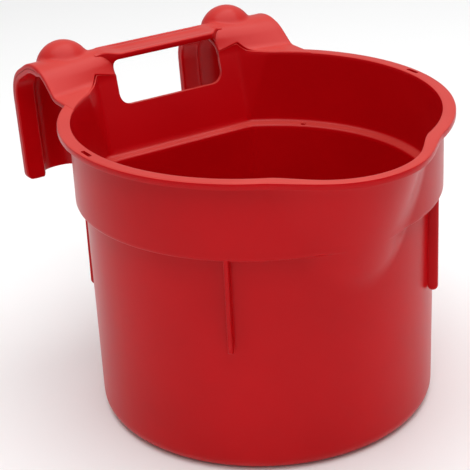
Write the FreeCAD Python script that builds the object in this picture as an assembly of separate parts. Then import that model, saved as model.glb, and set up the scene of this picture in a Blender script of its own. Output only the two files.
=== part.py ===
import FreeCAD, Part
import math
import os

# Hang-on feed and water bucket, one plastic moulding, written as named regions
# that meet face to face.  Millimetres.  The origin is the centre of the base on
# the tub's axis, +Z up, the pouring spout towards -Y and the hooks towards +Y.

Vec = FreeCAD.Vector

# tub
base_radius = 132.8
body_radius = 134.1         # lower body where it meets the collar
base_bend = 11.3            # outer radius of the bottom corner
wall = 3.0
floor_thick = 3.5
step_low = 173.8            # underside of the shelf step at the lower body
step_high = 176.6           # underside of the shelf step at the collar
shelf_low = 175.9           # top of the shelf at its inner edge
shelf_high = 178.2          # and at the collar
collar_radius = 141.3
collar_inner = 138.3
mouth_radius = 140.0        # inner edge of the rim
far = 400.0                 # cutting blocks reach well outside the part
overrun = 10.0              # cutting shapes run this far past what they cut

# flat back
lower_back = 113.5          # inner face of the flat back below the shelf
shelf_back = 120.0          # inner face just above the shelf
upper_back = 134.0          # inner face at the rim
panel_half = 66.0           # half width of the flat panel
cheek_half = 84.0           # where the slanted corners meet the round wall
cheek_back = 112.0
cheek_foot_out = 1.5        # the same corners at the shelf, from the panel's edge
cheek_foot_drop = 1.1
outer_half = 67.4           # the panel and its corners again, on the outside
outer_cheek_half = 87.2
outer_cheek_back = 111.2
panel_top = 242.0           # the panel runs up to the hooks and the grip
bump_front = 90.0           # the panel's cutting shapes start inside the tub
slot_half = 48.5
slot_bottom = 215.0
slot_corner = 10.0
slot_back = 139.0           # the slot's opening trims the hooks in front of this

# rim
rim_top = 238.0
rim_thick = 5.0
rim_radius = 150.0
notch_round = 30.0          # concave corners beside the spout
ear_front = 60.0            # behind this line the rim widens into the hooks
ear_half = 112.0
key_slot_out = 145.3        # slim slots through the rim, left and right
key_slot_width = 3.2
key_slot_length = 13.0
key_slot_middle = -5.0

# pouring spout, a leaning cone
spout_back = -96.6          # centre of the spout's arc at the rim
spout_radius = 69.0
spout_lip = 5.0             # rim outside the spout wall
spout_rim_back = -126.0     # the spout's rim is a region of its own in front of this
spout_foot = 141.0          # height at which the spout dies into the body
spout_foot_back = -76.0
spout_body_back = -100.0    # nothing of the spout's wall lies behind this
spout_foot_radius = 58.0

# gusset ribs under the collar
rib_thick = 3.3
rib_reach = 141.3
rib_foot_round = 3.5        # both lower corners of a rib
rib_root_gap = 0.5          # the buried root starts this far above the rounding
front_rib_foot = 102.5
rear_rib_foot = 86.0
front_left_azimuth = -42.0
front_right_azimuth = 38.5
rear_left_azimuth = -131.0  # the right one is its mirror image

# hooks: their top surface runs from the rim up a ramp, over a crest arc, down a
# slope, round the shoulder and down the leg, all in the Y and Z directions
hook_in = 46.0
hook_out = 112.0
hook_foot = 116.0           # the hook takes over from the rim behind this line
plate_thick = 4.0
band_depth = 7.5            # plate and bearing band together
band_width = 17.0
inner_band_width = 16.0
band_start = 147.0          # the crest and leg have one profile behind this line
ramp_start = 104.0
outer_ramp_foot = 120.9     # where the ramp leaves the rim, at the hook's two ends
inner_ramp_foot = 133.0
ramp_round = 12.0
crest = (157.0, 237.0)      # centre of the crest arc
crest_round = 20.0
rear_slope = 27.0           # degrees below level
shoulder = (203.6, 235.7)
shoulder_round = 28.0
leg_foot = (197.0, 145.0)
channel_line = ((170.0, 252.8), (210.5, 236.0), (207.0, 145.0))
channel_rounds = (0.0, 26.0, 0.0)
channel_depth = 15.0
side_skin = 3.0
channel_start = 186.0       # behind this the channel replaces the plate
dome_side = 78.2
dome_back = 169.7
dome_level = 244.0
dome_radius = 23.0
dome_wall = 3.0

# hand grip between the hooks
grip_front = 134.0
grip_back = 163.0
grip_top = 257.5
grip_low = 252.5
grip_skin = 3.5
grip_lip = 1.5              # the rear edge hangs this much lower
groove_from = 157.2
groove_to = 158.8
groove_deep = 1.2
groove_short = 6.0          # the groove stops this far from the hooks


def in_yz(x):
    """Placer of profile points (y, z) in the plane at x."""
    return lambda p: Vec(x, p[0], p[1])


def in_rz(p):
    return Vec(p[0], 0.0, p[1])


def outline(points, rounds, place):
    """Closed wire through the points, with an arc at each corner that has a radius."""
    count = len(points)
    starts, ends, arcs = [], [], []
    for i in range(count):
        here = Vec(points[i][0], points[i][1], 0.0)
        back = Vec(points[i - 1][0], points[i - 1][1], 0.0) - here
        ahead = Vec(points[(i + 1) % count][0], points[(i + 1) % count][1], 0.0) - here
        back.normalize()
        ahead.normalize()
        if rounds[i] <= 0.0:
            starts.append(here)
            ends.append(here)
            arcs.append(None)
            continue
        half = back.getAngle(ahead) / 2.0
        run = rounds[i] / math.tan(half)
        middle = back + ahead
        middle.normalize()
        centre = here + middle * (rounds[i] / math.sin(half))
        starts.append(here + back * run)
        ends.append(here + ahead * run)
        arcs.append(centre - middle * rounds[i])
    edges = []
    for i in range(count):
        if arcs[i] is not None:
            arc = Part.Arc(place(starts[i]), place(arcs[i]), place(ends[i]))
            edges.append(arc.toShape())
        after = starts[(i + 1) % count]
        edges.append(Part.makeLine(place(ends[i]), place(after)))
    return Part.Wire(edges)


def spun(points, rounds):
    """Solid of revolution about the tub's axis from a profile (radius, z)."""
    face = Part.Face(outline(points, rounds, in_rz))
    return face.revolve(Vec(0, 0, 0), Vec(0, 0, 1), 360)


def across(points, rounds, x_from, x_to):
    """Prism along X from a profile (y, z)."""
    face = Part.Face(outline(points, rounds, in_yz(x_from)))
    return face.extrude(Vec(x_to - x_from, 0, 0))


def block(low, high):
    return Part.makeBox(high[0] - low[0], high[1] - low[1], high[2] - low[2], Vec(*low))


def shifted(points, rounds, depth):
    """The path moved to its underside by depth, with its corner radii to match."""
    legs = []
    for a, b in zip(points, points[1:]):
        run = math.hypot(b[0] - a[0], b[1] - a[1])
        legs.append(((b[1] - a[1]) / run, -(b[0] - a[0]) / run))
    moved, bends = [], []
    for i, p in enumerate(points):
        before = legs[max(i - 1, 0)]
        after = legs[min(i, len(legs) - 1)]
        share = depth / (1.0 + before[0] * after[0] + before[1] * after[1])
        moved.append((p[0] + (before[0] + after[0]) * share, p[1] + (before[1] + after[1]) * share))
        turn = before[0] * after[1] - before[1] * after[0]
        grow = math.copysign(depth, turn)
        bends.append(rounds[i] + grow if rounds[i] > 0.0 else 0.0)
    return moved, bends


def strip(points, rounds, near, far, place):
    """Closed wire of the band between two depths under a path."""
    top, top_bends = shifted(points, rounds, near)
    low, low_bends = shifted(points, rounds, far)
    return outline(top + low[::-1], top_bends + low_bends[::-1], place)


def cap_outline(points, rounds, depth, level, place):
    """Closed wire of everything between a shifted path and a level."""
    line, bends = shifted(points, rounds, depth)
    ends = [(line[-1][0], level), (line[0][0], level)]
    return outline(line + ends, bends + [0.0, 0.0], place)


def between(wire_a, wire_b):
    return Part.makeLoft([wire_a, wire_b], True, True)


def mirrored(shape):
    return shape.mirror(Vec(0, 0, 0), Vec(1, 0, 0))


def sole(shape):
    """A single clean solid, or an error that says how many there are."""
    tidy = shape.removeSplitter()
    if len(tidy.Solids) != 1:
        raise ValueError("expected one solid, got %d" % len(tidy.Solids))
    return tidy.Solids[0]


def save(name, shape):
    solid = sole(shape)
    if not solid.isValid():
        raise ValueError(name + " is not valid")
    solid.exportStep("parts/%s.step" % name)
    print("%-20s %8.1f cm3" % (name, solid.Volume / 1000.0))


# ---- tub envelopes and the space inside ----

def back_prism(low, shelf, high, step_at, shelf_at, top):
    """Everything in front of the flat back, as a prism across the whole width."""
    points = ((-far, -far), (low, -far), (low, step_at), (shelf, shelf_at),
              (high, rim_top), (high, top), (-far, top))
    return across(points, [0.0] * len(points), -far, far)


def panel_bump(shelf, high, half, cheek, cheek_at, low_z, top_z):
    """The leaning box that the flat panel and its slanted corners bound."""
    foot_out = half + cheek_foot_out
    foot_at = shelf - cheek_foot_drop
    foot = [(-foot_out, bump_front), (-foot_out, foot_at), (-half, shelf),
            (half, shelf), (foot_out, foot_at), (foot_out, bump_front)]
    head = [(-cheek, bump_front), (-cheek, cheek_at), (-half, high),
            (half, high), (cheek, cheek_at), (cheek, bump_front)]
    flat = [0.0] * len(foot)
    low = outline(foot, flat, lambda p: Vec(p[0], p[1], low_z))
    top = outline(head, flat, lambda p: Vec(p[0], p[1], rim_top))
    prism = Part.Face(outline(head, flat, lambda p: Vec(p[0], p[1], rim_top)))
    return between(low, top).fuse(prism.extrude(Vec(0, 0, top_z - rim_top)))


def spout_cone(skin, low_z, top_z):
    """The spout's leaning cone, its radius less the skin, between two heights."""
    wires = []
    for z in (low_z, top_z):
        share = (z - spout_foot) / (rim_top - spout_foot)
        middle = spout_foot_back + (spout_back - spout_foot_back) * share
        radius = spout_foot_radius + (spout_radius - spout_foot_radius) * share - skin
        wires.append(Part.Wire(Part.makeCircle(radius, Vec(0, middle, z))))
    return Part.makeLoft(wires, True, True)


rim_under = rim_top - rim_thick

body_outer = spun(((0, 0), (base_radius, 0), (body_radius, step_low), (0, step_low)),
                  (0, base_bend, 0, 0))
collar_outer = spun(((0, step_low), (body_radius, step_low), (collar_radius, step_high),
                     (collar_radius, rim_under), (0, rim_under)), (0, 0, 0, 0, 0))
back_outer = back_prism(lower_back + wall, shelf_back + wall, upper_back + wall,
                        step_low, step_high, far)
bump_outer = panel_bump(shelf_back + wall, upper_back + wall, outer_half,
                        outer_cheek_half, outer_cheek_back, step_high, panel_top)

round_void = spun(((0, floor_thick), (base_radius - wall, floor_thick),
                   (body_radius - wall, shelf_low), (collar_inner, shelf_high),
                   (mouth_radius, rim_top), (mouth_radius, far), (0, far)),
                  (0, base_bend - wall, 0, 0, 0, 0, 0))
back_inner = back_prism(lower_back, shelf_back, upper_back, shelf_low, shelf_high, far)
bump_inner = panel_bump(shelf_back, upper_back, panel_half, cheek_half, cheek_back,
                        shelf_high, far)
spout_void = spout_cone(wall, spout_foot - overrun, rim_top + overrun)
tub_void = round_void.common(back_inner).fuse([bump_inner, spout_void])

tub_outer = body_outer.fuse(collar_outer).common(back_outer)
panel_zone = block((-outer_cheek_half, bump_front, shelf_high), (outer_cheek_half, far, panel_top))


def slab(low_z, high_z):
    return block((-far, -far, low_z), (far, far, high_z))


def behind(y, half=far):
    return block((-half, y, -far), (half, far, far))


def in_front_of(y, half=far):
    return block((-half, -far, -far), (half, y, far))


def right_half(shape):
    return shape.common(block((0, -far, -far), (far, far, far)))


# ---- hooks ----

def arch_path(ramp_foot):
    """Corners of a hook's top surface, its ramp and rear slope tangent to the crest arc."""
    away = math.atan2(crest[1] - rim_top, crest[0] - ramp_foot)
    reach = math.hypot(crest[0] - ramp_foot, crest[1] - rim_top)
    climb = math.tan(away + math.asin(crest_round / reach))
    fall = math.radians(rear_slope)
    touch = (crest[0] + crest_round * math.sin(fall), crest[1] + crest_round * math.cos(fall))
    drop = math.tan(fall)
    peak_y = (touch[1] + drop * touch[0] - rim_top + climb * ramp_foot) / (climb + drop)
    peak = (peak_y, rim_top + climb * (peak_y - ramp_foot))
    return [(ramp_start, rim_top), (ramp_foot, rim_top), peak, shoulder, leg_foot]


arch_rounds = (0.0, ramp_round, crest_round, shoulder_round, 0.0)
arch_outer = arch_path(outer_ramp_foot)
arch_inner = arch_path(inner_ramp_foot)
front_room = in_front_of(band_start)
rear_room = behind(band_start)


def hook_loft(wire, *depths):
    """Solid between a hook's two end profiles in front of the crest, one profile behind it."""
    ends = [wire(arch_inner, arch_rounds, *depths, in_yz(hook_in)),
            wire(arch_outer, arch_rounds, *depths, in_yz(hook_out))]
    rear = Part.Face(ends[0]).extrude(Vec(hook_out - hook_in, 0, 0)).common(rear_room)
    return between(*ends).common(front_room).fuse(rear).removeSplitter()


arch_plate = hook_loft(strip, 0.0, plate_thick)
above_plate = hook_loft(cap_outline, plate_thick, far).common(front_room)
under_top = hook_loft(cap_outline, 0.0, 0.0)
hand_slot_room = block((-slot_half, 0, slot_bottom), (slot_half, slot_back, grip_low))
mid_in = hook_in + inner_band_width
mid_out = hook_out - band_width
mid_room = block((mid_in, channel_start, 0), (mid_out, far, far))
dome_centre = Vec(dome_side, dome_back, dome_level)
dome_ball = Part.makeSphere(dome_radius, dome_centre)
dome_hollow = Part.makeSphere(dome_radius - dome_wall, dome_centre)

hook_arch = arch_plate.cut([in_front_of(hook_foot), tub_void, hand_slot_room, mid_room, dome_hollow])


def hook_band(x_from, x_to):
    """Bearing band under the plate, from the crest over the board to the leg's foot."""
    face = Part.Face(strip(arch_outer, arch_rounds, plate_thick, band_depth, in_yz(x_from)))
    return face.extrude(Vec(x_to - x_from, 0, 0)).common(rear_room)


def channel_layer(depth, x_from, x_to):
    """Part of the leg's hollow channel, as deep as said from its rear surface."""
    face = Part.Face(strip(channel_line, channel_rounds, 0.0, depth, in_yz(x_from)))
    return face.extrude(Vec(x_to - x_from, 0, 0))


channel = channel_layer(plate_thick, mid_in, mid_out)
channel = channel.fuse([channel_layer(channel_depth, mid_in, mid_in + side_skin),
                        channel_layer(channel_depth, mid_out - side_skin, mid_out)])
channel = channel.common(mid_room).cut([arch_plate.cut(mid_room), dome_hollow])
dome = dome_ball.cut([dome_hollow, under_top, channel_layer(channel_depth, mid_in, mid_out)])

# ---- hand grip ----

grip_points = ((grip_front, grip_low), (grip_front, grip_top), (grip_back, grip_top),
               (grip_back, grip_low - grip_lip), (grip_back - grip_skin, grip_low - grip_lip),
               (grip_back - grip_skin, grip_top - grip_skin),
               (grip_front + grip_skin, grip_top - grip_skin), (grip_front + grip_skin, grip_low))
grip_rounds = (1.0, 1.5, 2.0, 1.0, 1.0, 1.5, 1.5, 1.0)
grip = across(grip_points, grip_rounds, -hook_in, hook_in)
groove = block((groove_short - hook_in, groove_from, grip_top - groove_deep),
               (hook_in - groove_short, groove_to, far))

# ---- rim ----


def rim_plate(outer, arc, z_from, z_to, corner):
    """Disc with the spout's arc in front, its two concave corners rounded."""
    disc = Part.makeCylinder(outer, z_to - z_from, Vec(0, 0, z_from))
    nose = Part.makeCylinder(arc, z_to - z_from, Vec(0, spout_back, z_from))
    plate = disc.fuse(nose).removeSplitter()
    upright = [e for e in plate.Edges if e.BoundBox.ZLength > (z_to - z_from) / 2]
    corners = [e for e in upright if e.BoundBox.YMin < spout_back and abs(e.BoundBox.XMin) > arc / 2]
    return plate.makeFillet(corner, corners)


rim_outer = rim_plate(rim_radius, spout_radius + spout_lip, rim_under, rim_top, notch_round)
rim_mouth = rim_plate(mouth_radius, spout_radius - wall, rim_under - overrun, rim_top + overrun,
                      notch_round - spout_lip)
rim_mouth = rim_mouth.common(in_front_of(ear_front))
ears = block((-ear_half, ear_front, rim_under), (ear_half, hook_foot, rim_top))
key_slots = []
for side in (-1, 1):
    low = (side * key_slot_out - key_slot_width / 2, key_slot_middle - key_slot_length / 2, 0)
    high = (side * key_slot_out + key_slot_width / 2, key_slot_middle + key_slot_length / 2, far)
    key_slots.append(block(low, high))
rim = rim_outer.fuse(ears).cut([tub_void, rim_mouth] + key_slots)
rim = rim.cut([behind(ear_front, panel_half), behind(hook_foot)])
spout_room = in_front_of(spout_rim_back)
spout_rim = rim.common(spout_room)
rim_right = right_half(rim.cut(spout_room))

# ---- the rest of the tub ----

floor_disc = Part.makeCylinder(base_radius - base_bend, floor_thick).common(back_outer)
tub_shell = tub_outer.cut(tub_void)
base_curve = tub_shell.common(slab(0, base_bend)).cut(floor_disc)
lower_wall = tub_shell.common(slab(base_bend, step_low))
shelf_step = tub_shell.common(slab(step_low, shelf_high))
collar_all = tub_shell.common(slab(shelf_high, rim_under))
collar_right = right_half(collar_all.cut(panel_zone))

panel_all = tub_outer.fuse(bump_outer).cut(tub_void).common(panel_zone)
slot_points = ((-slot_half, slot_bottom), (slot_half, slot_bottom), (slot_half, far), (-slot_half, far))
slot_wire = outline(slot_points, (slot_corner, slot_corner, 0, 0), lambda p: Vec(p[0], bump_front, p[1]))
hand_slot = Part.Face(slot_wire).extrude(Vec(0, far, 0))
panel_middle = panel_all.common(block((-panel_half, 0, 0), (panel_half, far, far)))
back_panel = panel_middle.cut([above_plate, mirrored(above_plate), hand_slot])
cheek_right = panel_all.common(block((panel_half, 0, 0), (far, far, rim_under)))

spout_body = spout_cone(0.0, spout_foot - overrun, rim_under).cut([tub_outer, tub_void])
spout_body = spout_body.common(in_front_of(spout_body_back))


def rib(azimuth, foot):
    """Gusset plate under the collar, at an angle from -Y towards +X."""
    root = base_radius - wall
    notch = foot + rib_foot_round + rib_root_gap
    points = ((root, notch), (body_radius, notch), (body_radius, foot), (rib_reach, foot),
              (rib_reach, shelf_high), (root, shelf_high))
    face = Part.Face(outline(points, (0, 0, rib_foot_round, rib_foot_round, 0, 0), in_rz))
    plate = face.extrude(Vec(0, rib_thick, 0)).translated(Vec(0, -rib_thick / 2, 0))
    plate.rotate(Vec(0, 0, 0), Vec(0, 0, 1), azimuth - 90)
    return plate.cut([tub_outer, collar_outer])


os.makedirs("parts", exist_ok=True)
save("tub_floor", floor_disc)
save("base_curve", base_curve)
save("lower_wall", lower_wall)
save("shelf_step", shelf_step)
save("collar_right", collar_right)
save("collar_left", mirrored(collar_right))
save("back_panel", back_panel)
save("cheek_right", cheek_right)
save("cheek_left", mirrored(cheek_right))
save("rim_right", rim_right)
save("rim_left", mirrored(rim_right))
save("spout_rim", spout_rim)
save("spout_body", spout_body)
save("rib_front_left", rib(front_left_azimuth, front_rib_foot))
save("rib_front_right", rib(front_right_azimuth, front_rib_foot))
save("rib_rear_left", rib(rear_left_azimuth, rear_rib_foot))
save("rib_rear_right", mirrored(rib(rear_left_azimuth, rear_rib_foot)))
save("hand_grip", grip.cut(groove))
for side, turn in (("right", lambda shape: shape), ("left", mirrored)):
    save("hook_arch_" + side, turn(hook_arch))
    save("outer_band_" + side, turn(hook_band(mid_out, hook_out)))
    save("inner_band_" + side, turn(hook_band(hook_in, mid_in)))
    save("hook_channel_" + side, turn(channel))
    save("dome_" + side, turn(dome))
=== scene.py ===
import math

import bmesh
import bpy
import numpy as np
from mathutils import Matrix, Vector


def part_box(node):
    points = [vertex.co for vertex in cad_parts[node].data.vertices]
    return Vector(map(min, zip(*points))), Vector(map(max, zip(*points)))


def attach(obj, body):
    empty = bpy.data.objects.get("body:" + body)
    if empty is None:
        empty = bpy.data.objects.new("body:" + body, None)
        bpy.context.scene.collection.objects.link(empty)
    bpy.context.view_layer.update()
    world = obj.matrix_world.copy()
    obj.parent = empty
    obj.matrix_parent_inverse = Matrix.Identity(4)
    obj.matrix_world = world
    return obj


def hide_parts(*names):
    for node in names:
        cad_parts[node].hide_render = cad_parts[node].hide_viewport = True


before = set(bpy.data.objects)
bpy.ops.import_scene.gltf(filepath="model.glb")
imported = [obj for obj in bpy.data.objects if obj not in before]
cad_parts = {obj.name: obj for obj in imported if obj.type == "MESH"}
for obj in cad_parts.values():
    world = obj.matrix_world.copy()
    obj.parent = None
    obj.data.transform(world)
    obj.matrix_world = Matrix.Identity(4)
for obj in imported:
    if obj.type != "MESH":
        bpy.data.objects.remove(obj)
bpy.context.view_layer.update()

mm = 0.001


def boxMm(node):
    low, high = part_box(node)
    return np.array(low) / mm, np.array(high) / mm


# sizes read from the frame, in millimetres

floorHigh = boxMm("tub_floor")[1]
bendHigh = boxMm("base_curve")[1]
bodyHigh = boxMm("lower_wall")[1]
stepLow, stepHigh = boxMm("shelf_step")
panelHigh = boxMm("back_panel")[1]
rimLow, rimHigh = boxMm("rim_right")
lipLow = boxMm("spout_rim")[0]
archLow, archHigh = boxMm("hook_arch_right")
gripLow, gripHigh = boxMm("hand_grip")
gripUnder = gripHigh[2] - 5.0     # the front lip of the grip


# small maths used by every piece

def smoothStep(low, high, value):
    t = np.clip((value - low) / (high - low), 0.0, 1.0)
    return t * t * (3.0 - 2.0 * t)


def softMax(a, b, blend):
    h = np.clip(0.5 + 0.5 * (a - b) / blend, 0.0, 1.0)
    return b * (1.0 - h) + a * h + blend * h * (1.0 - h)


def softMin(a, b, blend):
    return -softMax(-a, -b, blend)


def mix(a, b, t):
    return a + (b - a) * t


def roundedPath(corners, rounds, step=0.5):
    # points along a line with its corners rounded by true arcs
    points = [np.array(corners[0], float)]
    for before, here, after, radius in zip(corners, corners[1:], corners[2:], rounds):
        before, here, after = (np.array(p, float) for p in (before, here, after))
        back = (before - here) / np.linalg.norm(before - here)
        ahead = (after - here) / np.linalg.norm(after - here)
        half = math.acos(np.clip(back @ ahead, -1, 1)) / 2
        run = radius / math.tan(half)
        centre = here + (back + ahead) / np.linalg.norm(back + ahead) * radius / math.sin(half)
        start, end = here + back * run - centre, here + ahead * run - centre
        turn = math.pi - 2 * half
        count = max(3, int(radius * turn / step))
        for k in range(count + 1):
            t = k / count
            a, b = math.sin((1 - t) * turn) / math.sin(turn), math.sin(t * turn) / math.sin(turn)
            points.append(centre + start * a + end * b)
    points.append(np.array(corners[-1], float))
    return np.array(points)


def meshPiece(name, points, faces, replaced, sharpAngle=42):
    mesh = bpy.data.meshes.new(name)
    mesh.from_pydata([tuple(p) for p in np.asarray(points) * mm], [], faces)
    bm = bmesh.new()
    bm.from_mesh(mesh)
    bmesh.ops.remove_doubles(bm, verts=bm.verts, dist=0.004 * mm)
    bmesh.ops.dissolve_degenerate(bm, edges=bm.edges, dist=0.002 * mm)
    bmesh.ops.recalc_face_normals(bm, faces=bm.faces)
    bm.to_mesh(mesh)
    bm.free()
    mesh.shade_smooth()
    mesh.set_sharp_from_angle(angle=math.radians(sharpAngle))
    piece = bpy.data.objects.new(name, mesh)
    bpy.context.collection.objects.link(piece)
    mesh.materials.append(redPlastic)
    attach(piece, "root")
    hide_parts(*replaced)
    return piece


def gridFaces(rows, columns, closed):
    faces = []
    for r in range(rows - 1):
        for c in range(columns if closed else columns - 1):
            d = (c + 1) % columns
            faces.append((r * columns + c, r * columns + d, (r + 1) * columns + d, (r + 1) * columns + c))
    return faces


def cappedPiece(name, sections, replaced, sharpAngle):
    # a skin through closed sections, with a face on the first and the last
    points = np.array(sections)
    rows, columns = points.shape[:2]
    faces = gridFaces(rows, columns, True)
    faces.append(tuple(range(columns))[::-1])
    faces.append(tuple((rows - 1) * columns + c for c in range(columns)))
    return meshPiece(name, points.reshape(-1, 3), faces, replaced, sharpAngle)


# material

class Sock:
    # wraps a node socket so that shader maths reads as Python
    def __init__(self, tree, out):
        self.tree, self.out = tree, out

    def join(self, operation, other, swap=False):
        pair = (other, self) if swap else (self, other)
        return addNode(self.tree, "ShaderNodeMath", {"operation": operation}, {0: pair[0], 1: pair[1]})

    def __add__(self, other):
        return self.join("ADD", other)

    def __radd__(self, other):
        return self.join("ADD", other, True)

    def __sub__(self, other):
        return self.join("SUBTRACT", other)

    def __rsub__(self, other):
        return self.join("SUBTRACT", other, True)

    def __mul__(self, other):
        return self.join("MULTIPLY", other)

    def __rmul__(self, other):
        return self.join("MULTIPLY", other, True)


def addNode(tree, kind, settings=None, inputs=None, output=0):
    node = tree.nodes.new(kind)
    for key, value in (settings or {}).items():
        if key == "ramp":
            ramp = node.color_ramp
            while len(ramp.elements) < len(value):
                ramp.elements.new(0.5)
            for element, (spot, level) in zip(ramp.elements, value):
                element.position, element.color = spot, (level, level, level, 1)
        else:
            setattr(node, key, value)
    for key, value in (inputs or {}).items():
        if isinstance(value, Sock):
            tree.links.new(value.out, node.inputs[key])
        else:
            node.inputs[key].default_value = value
    return Sock(tree, node.outputs[output])


plastic = {
    "deep": (0.47, 0.0005, 0.0030, 1.0),      # pigment seen in thick or shaded plastic
    "bright": (0.62, 0.0015, 0.0055, 1.0),    # pigment where it is fresh and clean
    "paintedTopTint": (0.64, 0.18, 0.14, 1.0),          # painted top light: faces that look up get a lighter, pinker tint, standing in for light from above and its sheen
    "paintedTopShare": 0.32,
    "gloss": 0.27,
    "dull": 0.40,
    "cloudScale": 9.0,        # broad, faint changes of pigment
    "grainScale": 900.0,
    "grainHeight": 0.000012,
    "flowScale": 26.0,        # slow waves of the moulded surface
    "flowHeight": 0.00010,
    "scuffScale": 330.0,
    "scuffStretch": (1.0, 1.0, 0.12),
    "scuffTilt": (0.35, 0.2, 0.0),
    "scuffRamp": ((0.60, 0.0), (0.74, 1.0)),
    "ior": 1.25,
}


def makePlastic(name, look):
    material = bpy.data.materials.new(name)
    material.use_nodes = True
    tree = material.node_tree
    shader = tree.nodes["Principled BSDF"]
    place = addNode(tree, "ShaderNodeTexCoord", output=3)
    clouds = addNode(tree, "ShaderNodeTexNoise", None,
                     {"Vector": place, "Scale": look["cloudScale"], "Detail": 3.0, "Roughness": 0.55})
    fine = addNode(tree, "ShaderNodeTexNoise", None,
                   {"Vector": place, "Scale": look["grainScale"], "Detail": 2.0})
    flow = addNode(tree, "ShaderNodeTexNoise", None,
                   {"Vector": place, "Scale": look["flowScale"], "Detail": 1.0})
    stretch = addNode(tree, "ShaderNodeMapping", None,
                      {"Vector": place, "Scale": look["scuffStretch"], "Rotation": look["scuffTilt"]})
    scuffs = addNode(tree, "ShaderNodeTexNoise", None,
                     {"Vector": stretch, "Scale": look["scuffScale"], "Detail": 4.0, "Roughness": 0.7})
    scuffMask = addNode(tree, "ShaderNodeValToRGB", {"ramp": look["scuffRamp"]}, {"Fac": scuffs})
    cloudMask = addNode(tree, "ShaderNodeMapRange", None,
                        {"Value": clouds, "From Min": 0.3, "From Max": 0.7, "To Min": 0.0, "To Max": 1.0})
    normal = addNode(tree, "ShaderNodeNewGeometry", output=1)
    upward = addNode(tree, "ShaderNodeSeparateXYZ", None, {"Vector": normal}, 2)
    upMask = addNode(tree, "ShaderNodeMapRange", None,
                     {"Value": upward, "From Min": 0.35, "From Max": 1.0, "To Min": 0.0, "To Max": 1.0})
    # painted top light: share of the lighter, pinker tint on faces that look up, painted in place of light
    # from above and its sheen
    paintedTopMask = upMask * look["paintedTopShare"] * (0.6 + 0.4 * cloudMask)
    base = addNode(tree, "ShaderNodeMix", {"data_type": "RGBA"},
                   {0: cloudMask * 0.5, 6: look["deep"], 7: look["bright"]}, 2)
    colour = addNode(tree, "ShaderNodeMix", {"data_type": "RGBA"}, {0: paintedTopMask, 6: base, 7: look["paintedTopTint"]}, 2)
    wear = 0.35 * cloudMask + 0.35 * scuffMask + 0.3 * fine
    rough = look["gloss"] + (look["dull"] - look["gloss"]) * wear
    bumpFlow = addNode(tree, "ShaderNodeBump", None,
                       {"Height": flow, "Distance": look["flowHeight"], "Strength": 0.6})
    bumpGrain = addNode(tree, "ShaderNodeBump", None,
                        {"Height": fine, "Distance": look["grainHeight"], "Strength": 0.5,
                         "Normal": bumpFlow})
    tree.links.new(colour.out, shader.inputs["Base Color"])
    tree.links.new(rough.out, shader.inputs["Roughness"])
    tree.links.new(bumpGrain.out, shader.inputs["Normal"])
    shader.inputs["IOR"].default_value = look["ior"]
    return material


redPlastic = makePlastic("mouldedRedPlastic", plastic)
print("stage: material ready")


# tub: one closed skin from under the base, over the rim, to the floor inside

tub = {
    "columns": 900,
    "wall": 3.0,
    "bendRows": 9,
    "stepRound": 0.9,
    "rimRound": 0.8,
    "rimWidth": 10.0,
    "spoutLip": 5.0,         # rim outside the spout's wall
    "spoutFootRound": 58.0,  # radius of the spout's arc where it dies into the body
    "spoutArc": 69.0,        # and at the rim, outside the wall
    "spoutBlend": (2.0, 11.0),
    "lowerBack": 113.5,
    "shelfBack": 120.0,
    "cheekHalf": 84.0,       # where the slanted corners meet the round wall at the rim
    "cheekFootOut": 1.5,     # the same at the shelf, from the panel's edge
    "panelSkin": 0.47,       # the panel's and the corners' growth sideways per mm of wall
    "cheekSkin": 0.75,
    "lowerBlend": 2.5,       # rounding between the flat back and the round body
    "planSmooth": 9,         # columns that the plan's corners are rounded over
    "earFront": 60.0,        # behind this line the rim carries the hooks
    "hookHide": 0.05,        # how far the rim dips under the hooks' own skin
    "stepSlope": 1.6,        # the step's outer slope ends this far below the shelf's top
    "shelfSlope": 2.3,       # the shelf's inner edge lies this much lower
    "spoutFoot": 141.0,      # height at which the spout dies into the body
    "spoutFootCentre": 76.0,
    "blendAngle": math.radians(1.4),     # rounding between the slanted corners and the round wall
    "mouthNook": 14.0,       # rounding of the rim's concave corners beside the spout
    "backAngle": math.radians(52),       # the rim's flat rear edge lies within this of the back
}

rimTop = rimHigh[2]
rimUnder = rimLow[2]
rimRadius = rimHigh[0]
mouthRadius = rimRadius - tub["rimWidth"]
baseRadius = bendHigh[0]
bodyRadius = bodyHigh[0]
bend = bendHigh[2]
floorTop = floorHigh[2]
collarRadius = stepHigh[0]
shelfTop = stepHigh[2]
stepFoot = stepLow[2]
stepBrow = shelfTop - tub["stepSlope"]
shelfInner = shelfTop - tub["shelfSlope"]
upperBack = panelHigh[1] - tub["wall"]
panelHalf = panelHigh[0]
spoutTip = -lipLow[1]
spoutFoot = tub["spoutFoot"]
spoutCentre = spoutTip - tub["spoutLip"] - tub["spoutArc"]

turn = np.linspace(-math.pi, math.pi, tub["columns"], endpoint=False)   # 0 is the spout, towards +X
fromBack = np.abs(np.abs(turn) - math.pi)
side = np.abs(np.sin(turn))
backward = -np.cos(turn)


def spoutPlan(level, skin):
    # how far the spout's leaning cone reaches along each direction
    share = (level - spoutFoot) / (rimTop - spoutFoot)
    middle = mix(tub["spoutFootCentre"], spoutCentre, share)
    radius = mix(tub["spoutFootRound"], tub["spoutArc"], share) + skin
    inside = radius ** 2 - (middle * np.sin(turn)) ** 2
    reach = middle * np.cos(turn) + np.sqrt(np.maximum(inside, 0.0))
    return np.where((inside > 0) & (np.cos(turn) > 0), reach, 0.0)


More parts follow.
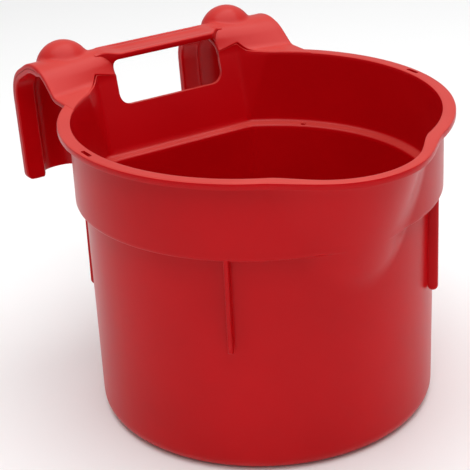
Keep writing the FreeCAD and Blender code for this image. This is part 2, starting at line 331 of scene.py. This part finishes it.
def backPlan(level, skin, radius):
    # the flat panel and its slanted corners, above the shelf
    share = np.clip((level - shelfTop) / (rimTop - shelfTop), 0.0, 1.1)
    flat = mix(tub["shelfBack"], upperBack, share) + skin
    half = panelHalf + tub["panelSkin"] * skin
    corner = mix(panelHalf + tub["cheekFootOut"], tub["cheekHalf"], share) + tub["cheekSkin"] * skin
    cornerBack = math.sqrt(radius ** 2 - corner ** 2)
    flatReach = flat / np.maximum(backward, 0.05)
    across, drop = corner - half, cornerBack - flat
    cheekReach = (half * drop - flat * across) / (side * drop - backward * across - 1e-9)
    blendAngle = tub["blendAngle"]
    edge = math.atan2(corner, cornerBack)
    poly = np.where(fromBack < math.atan2(half, flat), flatReach, cheekReach)
    keep = smoothStep(edge - blendAngle, edge + blendAngle, fromBack)
    return np.where(fromBack > edge + blendAngle, radius, mix(poly, radius, keep))


def softened(values):
    # rounds the plan's corners a little, by a running mean around the tub
    width = tub["planSmooth"]
    kernel = np.hanning(width + 2)[1:-1]
    kernel /= kernel.sum()
    padded = np.concatenate([values[-width:], values, values[:width]])
    return np.convolve(padded, kernel, "same")[width:-width]


def lowerPlan(level, skin):
    # the body below the step, cut off flat at the back
    share = np.clip((level - bend) / (stepFoot - bend), 0, 1)
    radius = mix(baseRadius, bodyRadius, share) - tub["wall"] + skin
    flat = (tub["lowerBack"] + skin) / np.maximum(backward, 0.05)
    return softMin(np.full_like(turn, radius), flat, tub["lowerBlend"])


def withSpout(plan, level, skin):
    # the plan with the spout blended into it, more softly towards the rim
    share = np.clip((level - spoutFoot) / (rimTop - spoutFoot), 0.0, 1.0)
    if level < spoutFoot - 6:
        return plan
    return softMax(plan, spoutPlan(level, skin), mix(*tub["spoutBlend"], share ** 1.5))


def outerAt(level):
    # plan of the tub's outside at one height
    if level < stepFoot:
        return withSpout(lowerPlan(level, tub["wall"]), level, 0.0)
    share = np.clip((level - stepFoot) / (stepBrow - stepFoot), 0, 1)
    upper = softened(backPlan(max(level, shelfTop), tub["wall"], collarRadius))
    return withSpout(mix(lowerPlan(stepFoot, tub["wall"]), upper, share), level, 0.0)


def innerAt(level):
    # and of its inside
    if level < shelfInner:
        return withSpout(lowerPlan(level, 0.0), level, -tub["wall"])
    share = np.clip((level - shelfTop) / (rimTop - shelfTop), 0, 1)
    radius = mix(collarRadius - tub["wall"], mouthRadius, share)
    upper = softened(backPlan(level, 0.0, radius))
    return withSpout(upper, level, -tub["wall"])


def flangeEdge():
    # the rim's outer edge, with the spout's arc and its concave corners
    ring = softMax(np.full_like(turn, rimRadius), spoutPlan(rimTop, tub["spoutLip"]), tub["mouthNook"])
    behind = (archLow[1] + 2.0) / np.maximum(backward, 0.05)
    ring = np.where(fromBack < tub["backAngle"], np.minimum(ring, behind), ring)
    return np.maximum(ring, outerAt(rimUnder) + 0.3)


def topLevel(reach, level):
    # the rim's top, raised to the hooks' skin where they take over
    within = (reach * side < archHigh[0]) & (reach * backward > tub["earFront"])
    return np.where(within, level - tub["hookHide"] + liftAt(reach * side), level)


def tubRows():
    # rings of points from the middle of the underside to the middle of the floor inside
    rows = []

    def put(reach, level):
        rows.append((np.broadcast_to(reach, turn.shape), np.broadcast_to(level, turn.shape)))

    # underside and bottom bend
    wallFoot = outerAt(bend)
    for share in (0.02, 0.2, 0.45, 0.7, 0.9):
        put((wallFoot - bend) * share, 0.0)
    for k in range(tub["bendRows"] + 1):
        a = math.pi / 2 * k / tub["bendRows"]
        put(wallFoot - bend + bend * math.sin(a), bend - bend * math.cos(a))
    # outer wall with the spout growing out of it
    plainLevels = np.arange(bend + 4, tub["spoutFoot"] - 13, 6.0)
    for level in np.concatenate([plainLevels, np.arange(tub["spoutFoot"] - 12, stepFoot - 0.8, 1.8)]):
        put(outerAt(level), level)
    soft = tub["stepRound"]
    for level in (stepFoot - soft, stepFoot, stepFoot + soft):
        spread = (outerAt(level - 0.5) + 2 * outerAt(level) + outerAt(level + 0.5)) / 4
        put(spread, level)
    put(outerAt(mix(stepFoot, stepBrow, 0.6)), mix(stepFoot, stepBrow, 0.6))
    for level in (stepBrow - soft * 0.7, stepBrow, stepBrow + soft):
        spread = (outerAt(level - 0.6) + 2 * outerAt(level) + outerAt(level + 0.6)) / 4
        put(spread, level)
    for level in np.arange(stepBrow + 3, rimUnder - 2, 2.2):
        put(outerAt(level), level)
    # rim: fillet, underside, rounded edge, top, rounded mouth
    collar = outerAt(rimUnder)
    edge = flangeEdge()
    soft = tub["rimRound"]
    put(collar, rimUnder - 1.2)
    put(collar + 0.35, rimUnder - 0.35)
    put(np.minimum(collar + 1.3, edge - 0.2), rimUnder)
    put(np.maximum(edge - soft, collar + 0.1), rimUnder)
    put(edge - soft * 0.3, rimUnder + soft * 0.3)
    put(edge, rimUnder + soft)
    put(edge, rimTop - soft)
    put(edge - soft * 0.3, topLevel(edge, rimTop - soft * 0.3))
    put(edge - soft, topLevel(edge, rimTop))
    mouth = innerAt(rimTop)
    for share in (0.75, 0.5, 0.25):
        reach = mix(mouth + soft, edge - soft, share)
        put(reach, topLevel(reach, rimTop))
    put(mouth + soft, topLevel(mouth, rimTop))
    put(mouth + soft * 0.3, topLevel(mouth, rimTop - soft * 0.3))
    put(mouth, rimTop - soft)
    # inside wall down to the shelf
    for level in np.arange(rimTop - 3, shelfTop + 2, -2.6):
        put(innerAt(level), level)
    ledgeOut = innerAt(shelfTop)
    ledgeIn = innerAt(shelfInner - 0.1)
    put(ledgeOut, shelfTop + 1.2)
    put(ledgeOut - 0.35, shelfTop + 0.3)
    for share in (0.18, 0.5, 0.8):
        put(mix(ledgeOut, ledgeIn, share), mix(shelfTop, shelfInner, share) - 0.1)
    put(mix(ledgeOut, ledgeIn, 0.95), shelfInner - 0.35)
    put(ledgeIn, shelfInner - 1.3)
    plainLevels = np.arange(tub["spoutFoot"] - 9, bend + 3, -6.0)
    for level in np.concatenate([np.arange(shelfInner - 4, tub["spoutFoot"] - 7, -3.0), plainLevels]):
        put(innerAt(level), level)
    # inner bend and floor
    small = bend - tub["wall"]
    foot = innerAt(bend)
    for k in range(tub["bendRows"] + 1):
        a = math.pi / 2 * (1 - k / tub["bendRows"])
        put(foot - small + small * math.sin(a), floorTop + small - small * math.cos(a))
    for share in (0.9, 0.7, 0.45, 0.2, 0.02):
        put((foot - small) * share, floorTop)
    return rows


def makeTub():
    rows = tubRows()
    points = np.array([np.stack([reach * np.sin(turn), -reach * np.cos(turn), level], -1)
                       for reach, level in rows]).reshape(-1, 3)
    columns = len(turn)
    faces = gridFaces(len(rows), columns, True)
    points = np.concatenate([points, [[0, 0, 0], [0, 0, floorTop]]])
    last = (len(rows) - 1) * columns
    for c in range(columns):
        d = (c + 1) % columns
        faces.append((len(points) - 2, d, c))
        faces.append((len(points) - 1, last + c, last + d))
    names = ["tub_floor", "base_curve", "lower_wall", "shelf_step", "back_panel", "spout_rim", "spout_body"]
    names += [part + hand for part in ("collar_", "cheek_", "rim_") for hand in ("left", "right")]
    return meshPiece("tubShell", points, faces, names)


# openings cut through the tub: the hand slot and the slim slots in the rim

slots = {
    "handHalf": 48.5, "handBottom": 215.0, "handCorner": 10.0,
    "handTall": 80.0,        # the cutter runs up past the rim
    "handFrom": 100.0, "handTo": 160.0,
    "keyOut": 145.3, "keyWidth": 3.2, "keyLength": 13.0, "keyMiddle": -5.0, "keyCorner": 1.2,
}


def cutterPrism(outline, low, high, place):
    # a closed prism, its outline put in place at both ends
    bm = bmesh.new()
    front = [bm.verts.new(Vector(place(u, v, low)) * mm) for u, v in outline]
    back = [bm.verts.new(Vector(place(u, v, high)) * mm) for u, v in outline]
    bm.faces.new(front)
    bm.faces.new(back[::-1])
    for i in range(len(outline)):
        j = (i + 1) % len(outline)
        bm.faces.new((front[i], back[i], back[j], front[j]))
    bmesh.ops.recalc_face_normals(bm, faces=bm.faces)
    mesh = bpy.data.meshes.new("cutter")
    bm.to_mesh(mesh)
    bm.free()
    cutter = bpy.data.objects.new("cutter", mesh)
    bpy.context.collection.objects.link(cutter)
    return cutter


def roundedBox(halfWide, halfTall, radius, steps=8):
    outline = []
    for cx, cy, start in ((1, 1, 0), (-1, 1, 90), (-1, -1, 180), (1, -1, 270)):
        for k in range(steps + 1):
            a = math.radians(start + 90 * k / steps)
            outline.append((cx * (halfWide - radius) + radius * math.cos(a),
                            cy * (halfTall - radius) + radius * math.sin(a)))
    return outline


def cutAway(piece, cutters):
    for cutter in cutters:
        step = piece.modifiers.new("cut", "BOOLEAN")
        step.operation, step.solver, step.object = "DIFFERENCE", "EXACT", cutter
    bpy.context.view_layer.update()
    cutMesh = bpy.data.meshes.new_from_object(piece.evaluated_get(bpy.context.evaluated_depsgraph_get()))
    piece.modifiers.clear()
    old = piece.data
    piece.data = cutMesh
    bpy.data.meshes.remove(old)
    for cutter in cutters:
        bpy.data.objects.remove(cutter)
    piece.data.shade_smooth()
    piece.data.set_sharp_from_angle(angle=math.radians(40))


# hooks: one skin each, over the board and down behind it

hook = {
    "start": 70.0,           # the hooks' path begins well inside the tub's mouth
    "outerFoot": 118.5,      # where the ramp leaves the rim, at the two sides of the hook
    "innerFoot": 133.0,
    "rampRound": 12.0,
    "innerCrest": (157.0, 237.0, 20.0, 27.0),    # arc centre, its radius and the slope behind it
    "outerCrest": (156.0, 215.5, 40.5, 27.0),
    "shoulder": (203.6, 235.7),
    "shoulderRound": 28.0,
    "leg": (197.0, 145.0),
    "plate": 4.0,
    "band": 7.5,             # plate and bearing band together
    "bandWidth": 17.0,
    "bandFrom": (140.0, 150.0),
    "edgeRound": 2.0,
    "footCorner": 6.5,
    "webLift": 2.4,          # the leg ends higher between its bearing bands
    "bulge": (6.9, 9.8),     # how far the leg's channel stands out, at the shoulder and the foot
    "bulgeFrom": (180.0, 203.0),
    "frontDrop": 2.4,        # the front end reaches this much deeper into the tub's wall
    "domeCentre": (78.2, 169.7, 244.0),
    "domeRound": 23.0,
    "domeWall": 3.0,
    "domeBlend": 2.6,
    "rowStep": 1.15,
}
hookIn, hookOut = archLow[0], archHigh[0]


def hookPath(x):
    # the hook's top surface at one x, in Y and Z, from the mouth to the leg's foot
    share = (x - hookIn) / (hookOut - hookIn)
    foot = mix(hook["innerFoot"], hook["outerFoot"], share)
    cy, cz, crestRound, slope = mix(np.array(hook["innerCrest"]), np.array(hook["outerCrest"]), share)
    away = math.atan2(cz - rimTop, cy - foot)
    climb = math.tan(away + math.asin(crestRound / math.hypot(cy - foot, cz - rimTop)))
    fall = math.radians(slope)
    touch = (cy + crestRound * math.sin(fall), cz + crestRound * math.cos(fall))
    drop = math.tan(fall)
    peak = (touch[1] + drop * touch[0] - rimTop + climb * foot) / (climb + drop)
    top = (peak, rimTop + climb * (peak - foot))
    corners = [(hook["start"], rimTop), (foot, rimTop), top, hook["shoulder"], hook["leg"]]
    path = roundedPath(corners, (hook["rampRound"], crestRound, hook["shoulderRound"]), 0.4)
    start = mouthEdge(x)
    steps = np.linalg.norm(np.diff(path, axis=0), axis=1)
    total = np.concatenate([[0.0], np.cumsum(steps)])
    begin = np.interp(start, path[:, 0][: len(path) // 2], total[: len(path) // 2])
    return path, total, begin


def mouthEdge(x):
    # where the tub's mouth lies at one x, behind the middle
    if x < panelHalf:
        return upperBack
    if x < tub["cheekHalf"]:
        t = (x - panelHalf) / (tub["cheekHalf"] - panelHalf)
        return mix(upperBack, math.sqrt(mouthRadius ** 2 - tub["cheekHalf"] ** 2), t)
    return math.sqrt(mouthRadius ** 2 - x ** 2)


def arched(inside, start, power):
    # a rounded channel across the hook: nothing before start, level in the middle
    share = np.clip((inside - start) / ((hookOut - hookIn) / 2 - start), 0, 1)
    foot = smoothStep(-1.2, 1.2, inside - start)
    return (1 - (1 - share) ** power) ** (1 / power) * foot


def domeRise(point, up, radius, blend):
    # how far the dome's ball stands above each point, nothing away from it
    gap = point - np.array(hook["domeCentre"])
    dot = (gap * up).sum(1)
    room = dot ** 2 - (gap ** 2).sum(1) + radius ** 2
    inside = np.sqrt(np.maximum(room, 0)) - dot
    reach = np.where(room > 0, inside, np.maximum(room, -400) / 100 - 6.0)
    return softMax(reach, np.zeros(len(point)), blend)


def liftAt(x):
    # how much higher than the rim a hook's skin is where it meets the tub's mouth
    xs = np.linspace(hookIn, hookOut, 34)
    lifts = []
    for spot in xs:
        path, total, begin = hookPath(spot)
        lifts.append(max(np.interp(begin, total, path[:, 1]) - rimTop - 0.6, 0.0))
    return np.interp(x, xs, lifts)


def makeHook(name, hand, replaced):
    # two layers of points, the top skin and the underside, joined around the edge
    soft = hook["edgeRound"]
    bandW = hook["bandWidth"]
    spots = np.concatenate([[0, 0, 0.15, 0.45, 0.9, 1.6, 2.4], np.linspace(3.6, bandW - 1.6, 9),
                            np.linspace(bandW - 1.0, bandW + 4.0, 8), np.linspace(bandW + 5, 33, 14)[:-1]])
    width = hookOut - hookIn
    spots = np.concatenate([spots, [width / 2], (width - spots)[::-1]])
    depths = np.concatenate([[0.5, 0.24], soft * np.array([0.62, 0.30, 0.10, 0, 0])])
    depthEnds = np.concatenate([depths, np.zeros(len(spots) - 2 * len(depths)), depths[::-1]])
    # the outermost two are shares of the thickness, the others millimetres
    shareEnds = np.concatenate([[1, 1], np.zeros(len(spots) - 4), [1, 1]])
    stations = np.concatenate([[0.0, 0.25, 0.7, 1.3], np.arange(2.2, 250, hook["rowStep"])])
    lines = []
    _, middleTotal, middleBegin = hookPath((hookIn + hookOut) / 2)
    middleLength = middleTotal[-1] - middleBegin
    shares = stations[stations < middleLength - 1.2]
    shares = np.concatenate([shares, [middleLength - t for t in (0.9, 0.4, 0.0)]]) / middleLength
    for s in spots:
        x = hookIn + s
        path, total, begin = hookPath(x)
        fromEdge = min(s, width - s)
        length = total[-1] - begin - hook["webLift"] * smoothStep(bandW - 6.0, bandW + 1.0, fromEdge)
        run = shares * length + begin
        y, z = (np.interp(run, total, path[:, k]) for k in (0, 1))
        ahead = np.stack([np.interp(run + 0.6, total, path[:, k]) - np.interp(run - 0.6, total, path[:, k])
                          for k in (0, 1)], -1)
        ahead /= np.maximum(np.linalg.norm(ahead, axis=1, keepdims=True), 1e-9)
        normal = np.stack([-ahead[:, 1], ahead[:, 0]], -1)
        lines.append((x, y, z, normal, run))
    count = len(shares)
    table = np.zeros((2, count, len(spots), 3))
    for c, (x, y, z, normal, run) in enumerate(lines):
        left = run[-1] - run
        gone = run - run[0]
        # the leg's foot has round corners, and the front corner clears the hand slot
        corner = hook["footCorner"]
        cornerRun = np.clip(corner - left, 0.0, corner)
        tuck = corner - np.sqrt(corner ** 2 - cornerRun ** 2)
        climb = np.clip((z - gripUnder + slots["handCorner"]) / slots["handCorner"], 0, 1)
        rounded = slots["handCorner"] * (1 - np.sqrt(1 - climb ** 2))
        keep = (1 - smoothStep(gripUnder, gripHigh[2] - 1.5, z)) * (y < hook["innerCrest"][0])
        inset = (slots["handHalf"] - rounded - hookIn) * keep
        low, high = hookIn + np.maximum(tuck, inset), hookOut - tuck
        px = mix(low, high, (x - hookIn) / width)
        fromEdge = np.minimum(px - hookIn, hookOut - px)
        banded = smoothStep(*hook["bandFrom"], y)
        isBand = 1 - smoothStep(bandW - 1.5, bandW + 2.0, fromEdge)
        thick = hook["plate"] + (hook["band"] - hook["plate"]) * banded * isBand
        inLeg = smoothStep(*hook["bulgeFrom"], y)
        down = np.clip((hook["shoulder"][1] - z) / (hook["shoulder"][1] - hook["leg"][1]), 0, 1)
        bulge = mix(*hook["bulge"], down) * inLeg * arched(fromEdge, bandW - 2.6, 2.6)
        hollow = mix(*hook["bulge"], down) * inLeg * arched(fromEdge, bandW + 0.6, 2.0)
        point = np.stack([px, y, z], -1)
        up = np.stack([np.zeros(count), normal[:, 0], normal[:, 1]], -1)
        dome = domeRise(point, up, hook["domeRound"], hook["domeBlend"])
        cavity = domeRise(point, up, hook["domeRound"] - hook["domeWall"], 1.0)
        top = softMax(dome, bulge, 1.5)
        edge = depthEnds[c] * (thick if shareEnds[c] else 1.0)
        endCut = np.interp(gone, [0, 0.25, 0.7, 1.3], [1.2, 0.35, 0.06, 0.0])
        footCut = np.interp(left, [0, 0.4, 0.9, 2.0], [1.2, 0.4, 0.1, 0.0])
        table[0, :, c] = point + up * (top - edge - endCut - footCut)[:, None]
        floorDepth = thick - hollow - cavity - edge * 0.6
        if shareEnds[c]:
            floorDepth = thick - edge
        under = point - up * (floorDepth - footCut)[:, None]
        # the front end stands upright in the tub's wall
        upright = np.minimum(under[:, 1], y[0] + 0.4 + 2.0 * gone)
        under[:, 1] = np.where(gone < 1.5, upright, under[:, 1])
        under[:, 2] -= hook["frontDrop"] * (1 - smoothStep(0.0, 3.0, gone))
        table[1, :, c] = under
    table[..., 0] *= hand
    columns = len(spots)
    layer = count * columns
    faces = gridFaces(count, columns, False)
    faces += [tuple(i + layer for i in face) for face in faces]
    for row in (0, count - 1):
        for c in range(row * columns, row * columns + columns - 1):
            faces.append((c, c + 1, c + 1 + layer, c + layer))
    return meshPiece(name, table.reshape(-1, 3), faces, replaced, 50)


tubShell = makeTub()
handMiddle = slots["handBottom"] + slots["handTall"] / 2
handOutline = roundedBox(slots["handHalf"], slots["handTall"] / 2, slots["handCorner"], 10)
handCutter = cutterPrism(handOutline, slots["handFrom"], slots["handTo"],
                         lambda u, v, w: (u, w, v + handMiddle))
keyOutline = roundedBox(slots["keyWidth"] / 2, slots["keyLength"] / 2, slots["keyCorner"], 5)
keyCutters = [cutterPrism(keyOutline, rimUnder - 1, rimTop + 1,
                          lambda u, v, w, s=s: (u + s * slots["keyOut"], v + slots["keyMiddle"], w))
              for s in (-1, 1)]
cutAway(tubShell, [handCutter] + keyCutters)
print("stage: tub ready", len(tubShell.data.polygons))

for hand, label in ((-1, "left"), (1, "right")):
    parts = [part + label for part in ("hook_arch_", "outer_band_", "inner_band_", "hook_channel_", "dome_")]
    piece = makeHook("hook" + label.capitalize(), hand, parts)
print("stage: hooks ready", len(piece.data.polygons))


# hand grip: a flat bar with a finger groove, its ends run into the hooks

grip = {
    "front": gripLow[1], "back": gripHigh[1], "top": gripHigh[2], "low": gripUnder,
    "reach": 60.0,           # half length, the ends lie on the hooks
    "setBack": 12.0,         # the front edge runs back into the hooks' ramps
    "setBackOver": (42.0, 57.0),
    "endRound": 10.0,
    "endDrop": 1.6,          # the ends sink a little into the hooks
    "edgeRound": 1.6,
    "dish": 0.9,             # shallow hollow along the top
    "dishBack": (150.5, 153.5),
    "groove": gripHigh[1] - 5.0, "grooveWidth": 1.5, "grooveDepth": 1.3,
    "rearLip": 1.5, "lipThick": 3.4,
    "hollow": 1.5, "hollowFrom": 146.0,      # the underside rises between the two lips
    "cornerFrom": 43.0, "corner": 5.0, "cornerBack": (142.0, 150.0),
}


def makeGrip():
    # one closed section per x: over the top, down the back, under and up the front
    half, back, low = grip["reach"], grip["back"], grip["low"]
    soft, groove = grip["edgeRound"], grip["groove"]
    edgeIn = np.array([0, 0.1, 0.35, 1.0])       # the rounded edges, as shares of their radius
    edgeDown = np.array([1.0, 0.55, 0.2, 0.0])
    tips = half - grip["endRound"] * (1 - np.sin(np.linspace(0, math.pi / 2, 14)))
    xs = np.concatenate([np.linspace(0, 33, 16), np.linspace(34, tips[0] - 1, 24), tips])
    xs = np.concatenate([-xs[:0:-1], xs])
    rows = []
    for x in xs:
        out = abs(x)
        front = grip["front"] + grip["setBack"] * smoothStep(*grip["setBackOver"], out)
        fade = 1 - smoothStep(36.0, 47.0, out)
        ys = np.concatenate([front + soft * edgeIn, np.linspace(front + 2.6, groove - 1.4, 12),
                             np.linspace(-1.0, 1.0, 9) + groove, [groove + 1.5, groove + 2.4],
                             back - soft * edgeIn[::-1]])
        zs = np.full(len(ys), grip["top"] - grip["endDrop"] * smoothStep(50.0, half, out))
        zs[:4] -= soft * edgeDown
        zs[-4:] -= soft * edgeDown[::-1]
        dished = smoothStep(front + 3, front + 7, ys) * (1 - smoothStep(*grip["dishBack"], ys))
        zs -= fade * grip["dish"] * dished
        zs -= fade * grip["grooveDepth"] * np.exp(-((ys - groove) / (grip["grooveWidth"] / 1.8)) ** 2)
        # round corners beside the slot
        drop = 0.0
        if out > grip["cornerFrom"]:
            t = min(out - grip["cornerFrom"], grip["corner"])
            drop = grip["corner"] - math.sqrt(max(grip["corner"] ** 2 - t ** 2, 0.0))
        under = ((back - 0.3, -grip["rearLip"]), (back - grip["lipThick"], -grip["rearLip"]),
                 (back - grip["lipThick"] - 0.2, grip["hollow"]), (grip["hollowFrom"], grip["hollow"]),
                 (front + 8, 0.0), (front + 3.6, 0.0), (front + 0.6, 0.0))
        loop = [(x, y, z) for y, z in zip(ys, zs)]
        loop.append((x, back, low - 0.9))
        for y, lift in under:
            loop.append((x, y, low + lift - drop * (1 - smoothStep(*grip["cornerBack"], y))))
        loop += [(x, front + 0.15, low + 0.25 - drop), (x, front, low + 0.8 - drop)]
        rows.append(loop)
    return cappedPiece("handGrip", rows, ["hand_grip"], 50)


makeGrip()
print("stage: grip ready")


# gusset ribs under the collar

rib = {
    "thickRoot": 3.3, "thickEdge": 3.1,
    "reach": 141.2,          # outer edge, from the tub's axis
    "flare": 0.5,
    "rowStep": 2.5,
    "tip": 3.5,              # height of the rounded foot
}


def ribAzimuth(node):
    # direction of a rib's outer edge, from its box: the farthest corner and its thickness
    low, high = boxMm(node)
    far = np.array([max(abs(low[i]), abs(high[i])) for i in (0, 1)])
    angle = math.atan2(far[0], far[1])
    for _ in range(6):
        half = rib["thickRoot"] / 2
        angle = math.atan2(far[0] - half * math.cos(angle), far[1] - half * math.sin(angle))
    x = math.copysign(math.sin(angle), low[0] + high[0])
    y = math.copysign(math.cos(angle), low[1] + high[1])
    return math.atan2(x, -y)


def makeRib(name, node):
    # a thin plate with a U-shaped foot, its root inside the tub's wall
    azimuth = ribAzimuth(node)
    out = np.array([math.sin(azimuth), -math.cos(azimuth), 0.0])
    across = np.array([math.cos(azimuth), math.sin(azimuth), 0.0])
    foot, head = boxMm(node)[0][2], stepBrow + 1.0
    levels = np.concatenate([foot + rib["tip"] * (1 - np.cos(np.linspace(0.12, math.pi / 2, 9))),
                             np.arange(foot + rib["tip"] + rib["rowStep"], head, rib["rowStep"]), [head]])
    rows = []
    for z in levels:
        t = np.clip((z - foot) / rib["tip"], 0, 1)
        rounded = math.sqrt(max(1 - (1 - t) ** 2, 0.0))
        skin = mix(baseRadius, bodyRadius, z / stepFoot)
        middle = (skin + rib["reach"]) / 2
        edge = mix(middle, rib["reach"], rounded)
        root = mix(middle - 0.4, skin, rounded) if t < 1 else skin - 1.5
        half, tipHalf = rib["thickRoot"] / 2, rib["thickEdge"] / 2
        near = rib["flare"] * (1 - rounded ** 2 if t < 1 else 0)
        section = [(root, half - near), (mix(root, edge, 0.3), half),
                   (mix(root, edge, 0.7), mix(half, tipHalf, 0.6)),
                   (edge - 0.4, tipHalf), (edge - 0.1, tipHalf * 0.85), (edge, tipHalf * 0.6)]
        section = section + [(r, -w) for r, w in section[::-1]]
        rows.append([out * r + across * w + np.array([0, 0, z]) for r, w in section])
    return cappedPiece(name, rows, [node], 60)


for place in ("front", "rear"):
    for label in ("left", "right"):
        makeRib("rib" + place.capitalize() + label.capitalize(), "rib_%s_%s" % (place, label))
print("stage: ribs ready")


# floor, light and camera

stage = {
    "floorSize": 6.0,
    "floorColour": (0.92, 0.92, 0.92, 1.0),
    "worldColour": (1.0, 1.0, 1.0, 1.0),
    "worldStrength": 0.40,
    "lamps": (   # name, place, size, power, aimed at
        ("keyLight", (-0.9, -1.3, 1.9), 0.7, 5.0, (0, 0, 0.15)),
        ("topLight", (0.1, -0.1, 2.2), 2.6, 54.0, (0.1, -0.1, 0)),
        ("sideLight", (1.6, -0.3, 0.9), 0.8, 1.5, (0, 0, 0.15)),
    ),
}


def makeStage():
    mesh = bpy.data.meshes.new("floor")
    half = stage["floorSize"] / 2
    corners = [(-half, -half, 0), (half, -half, 0), (half, half, 0), (-half, half, 0)]
    mesh.from_pydata(corners, [], [(0, 1, 2, 3)])
    floor = bpy.data.objects.new("floor", mesh)
    bpy.context.collection.objects.link(floor)
    paint = bpy.data.materials.new("paleFloor")
    paint.use_nodes = True
    shader = paint.node_tree.nodes["Principled BSDF"]
    shader.inputs["Base Color"].default_value = stage["floorColour"]
    shader.inputs["Roughness"].default_value = 0.9
    mesh.materials.append(paint)
    world = bpy.data.worlds.new("softWorld")
    world.use_nodes = True
    sky = world.node_tree.nodes["Background"]
    sky.inputs["Color"].default_value = stage["worldColour"]
    sky.inputs["Strength"].default_value = stage["worldStrength"]
    bpy.context.scene.world = world
    for name, place, size, power, target in stage["lamps"]:
        data = bpy.data.lights.new(name, "AREA")
        data.shape, data.size, data.energy = "SQUARE", size, power
        lamp = bpy.data.objects.new(name, data)
        lamp.location = place
        lamp.rotation_euler = (Vector(target) - Vector(place)).to_track_quat("-Z", "Y").to_euler()
        bpy.context.collection.objects.link(lamp)


view = {
    "azimuth": -30.508, "elevation": 24.327, "roll": -2.929,
    "distance": 1.1664, "lens": 113.6, "target": (-0.01634, 0.01252, 0.13262),
}


def makeCamera():
    a, e, roll = (math.radians(view[key]) for key in ("azimuth", "elevation", "roll"))
    back = Vector((math.sin(a) * math.cos(e), -math.cos(a) * math.cos(e), math.sin(e)))
    right = Vector((math.cos(a), math.sin(a), 0.0))
    up = back.cross(right)
    tilted = right * math.cos(roll) + up * math.sin(roll)
    upright = up * math.cos(roll) - right * math.sin(roll)
    data = bpy.data.cameras.new("camera")
    data.lens, data.sensor_width = view["lens"], 36.0
    camera = bpy.data.objects.new("camera", data)
    place = Vector(view["target"]) + back * view["distance"]
    turned = Matrix((tilted, upright, back)).transposed().to_4x4()
    camera.matrix_world = Matrix.Translation(place) @ turned
    bpy.context.collection.objects.link(camera)
    bpy.context.scene.camera = camera
    bpy.context.scene.view_settings.view_transform = "Standard"


makeStage()
makeCamera()
print("stage: floor, light and camera ready")

bpy.context.view_layer.update()
